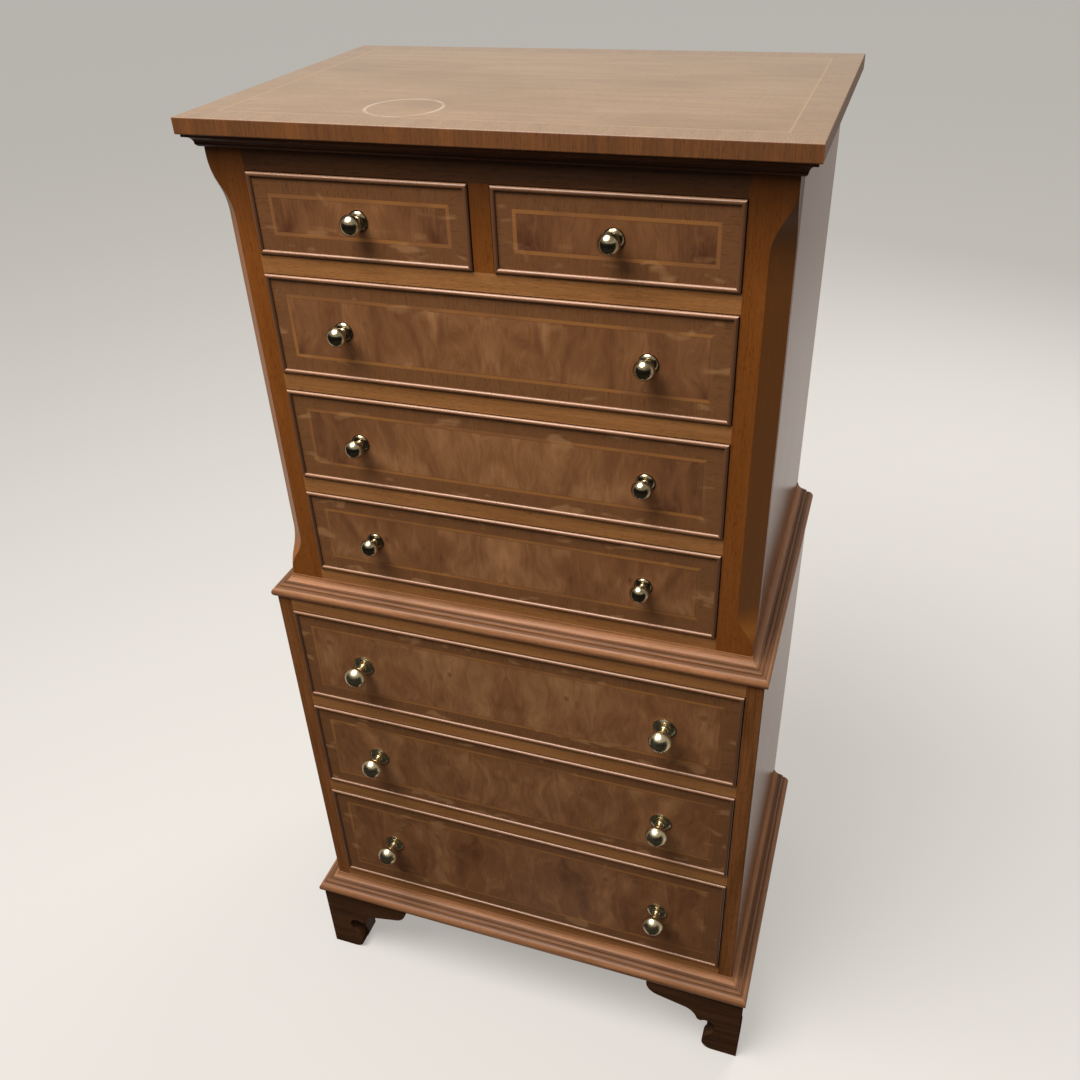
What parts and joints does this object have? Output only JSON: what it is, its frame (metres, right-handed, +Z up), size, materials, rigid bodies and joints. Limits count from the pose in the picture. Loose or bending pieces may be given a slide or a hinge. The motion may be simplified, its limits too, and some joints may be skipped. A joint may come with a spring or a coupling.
{
  "type": "chest on chest",
  "caption": "Chest on chest with canted upper corners, cock-beaded drawers with turned brass knobs, reeded waist and base mouldings and scrolled bracket feet.",
  "frame": {"origin": "on the floor, under the middle of the bounding box", "axes": "+Z up, the drawers face -Y and open along -Y, +X to the right as seen from the front"},
  "size_m": [0.614, 0.4096, 1.175],
  "materials": {
    "top_veneer": "gloss lacquered walnut veneer",
    "moulding_walnut": "satin walnut",
    "rail_walnut": "satin walnut veneer",
    "side_veneer": "gloss lacquered walnut veneer",
    "post_walnut": "satin walnut veneer",
    "foot_walnut": "satin walnut",
    "drawer_veneer": "satin figured walnut veneer",
    "bead_walnut": "satin walnut",
    "drawer_lining": "plain oak",
    "carcase_wood": "plain softwood",
    "back_ply": "plain plywood",
    "brass": "polished, lightly aged",
    "steel": "plain"
  },
  "bodies": {
    "case": {"top_board": "top_veneer", "cornice_moulding": "moulding_walnut", "upper_front_rails": "rail_walnut", "short_drawer_divider": "rail_walnut", "upper_top_rails": "carcase_wood", "upper_side_left": "side_veneer", "upper_side_right": "side_veneer", "canted_post_left": "post_walnut", "canted_post_right": "post_walnut", "upper_bottom_board": "back_ply", "upper_back_panel": "back_ply", "upper_runners_and_stops": "carcase_wood", "waist_moulding": "moulding_walnut", "lower_top_board": "rail_walnut", "lower_side_left": "side_veneer", "lower_side_right": "side_veneer", "lower_front_rails": "rail_walnut", "lower_bottom_board": "back_ply", "lower_back_panel": "back_ply", "lower_runners_and_stops": "carcase_wood", "bottom_battens": "carcase_wood", "base_moulding": "moulding_walnut", "front_foot_left": "foot_walnut", "front_foot_right": "foot_walnut", "back_foot_left": "foot_walnut", "back_foot_right": "foot_walnut", "glue_blocks": "carcase_wood", "case_screws": "steel"},
    "short_drawer_left": {"short_drawer_left_front": "drawer_veneer", "short_drawer_left_cock_bead": "bead_walnut", "short_drawer_left_box": "drawer_lining", "short_drawer_left_knobs": "brass"},
    "short_drawer_right": {"short_drawer_right_front": "drawer_veneer", "short_drawer_right_cock_bead": "bead_walnut", "short_drawer_right_box": "drawer_lining", "short_drawer_right_knobs": "brass"},
    "upper_drawer_top": {"upper_drawer_top_front": "drawer_veneer", "upper_drawer_top_cock_bead": "bead_walnut", "upper_drawer_top_box": "drawer_lining", "upper_drawer_top_knobs": "brass"},
    "upper_drawer_middle": {"upper_drawer_middle_front": "drawer_veneer", "upper_drawer_middle_cock_bead": "bead_walnut", "upper_drawer_middle_box": "drawer_lining", "upper_drawer_middle_knobs": "brass"},
    "upper_drawer_bottom": {"upper_drawer_bottom_front": "drawer_veneer", "upper_drawer_bottom_cock_bead": "bead_walnut", "upper_drawer_bottom_box": "drawer_lining", "upper_drawer_bottom_knobs": "brass"},
    "lower_drawer_top": {"lower_drawer_top_front": "drawer_veneer", "lower_drawer_top_cock_bead": "bead_walnut", "lower_drawer_top_box": "drawer_lining", "lower_drawer_top_knobs": "brass"},
    "lower_drawer_middle": {"lower_drawer_middle_front": "drawer_veneer", "lower_drawer_middle_cock_bead": "bead_walnut", "lower_drawer_middle_box": "drawer_lining", "lower_drawer_middle_knobs": "brass"},
    "lower_drawer_bottom": {"lower_drawer_bottom_front": "drawer_veneer", "lower_drawer_bottom_cock_bead": "bead_walnut", "lower_drawer_bottom_box": "drawer_lining", "lower_drawer_bottom_knobs": "brass"}
  },
  "joints": [
    {"name": "short_drawer_left_slide", "type": "slide", "parent": "case", "child": "short_drawer_left", "axis": [0, -1, 0], "range_m": [0, 0.25]},
    {"name": "short_drawer_right_slide", "type": "slide", "parent": "case", "child": "short_drawer_right", "axis": [0, -1, 0], "range_m": [0, 0.25]},
    {"name": "upper_drawer_top_slide", "type": "slide", "parent": "case", "child": "upper_drawer_top", "axis": [0, -1, 0], "range_m": [0, 0.25]},
    {"name": "upper_drawer_middle_slide", "type": "slide", "parent": "case", "child": "upper_drawer_middle", "axis": [0, -1, 0], "range_m": [0, 0.25]},
    {"name": "upper_drawer_bottom_slide", "type": "slide", "parent": "case", "child": "upper_drawer_bottom", "axis": [0, -1, 0], "range_m": [0, 0.25]},
    {"name": "lower_drawer_top_slide", "type": "slide", "parent": "case", "child": "lower_drawer_top", "axis": [0, -1, 0], "range_m": [0, 0.27]},
    {"name": "lower_drawer_middle_slide", "type": "slide", "parent": "case", "child": "lower_drawer_middle", "axis": [0, -1, 0], "range_m": [0, 0.27]},
    {"name": "lower_drawer_bottom_slide", "type": "slide", "parent": "case", "child": "lower_drawer_bottom", "axis": [0, -1, 0], "range_m": [0, 0.27]}
  ]
}
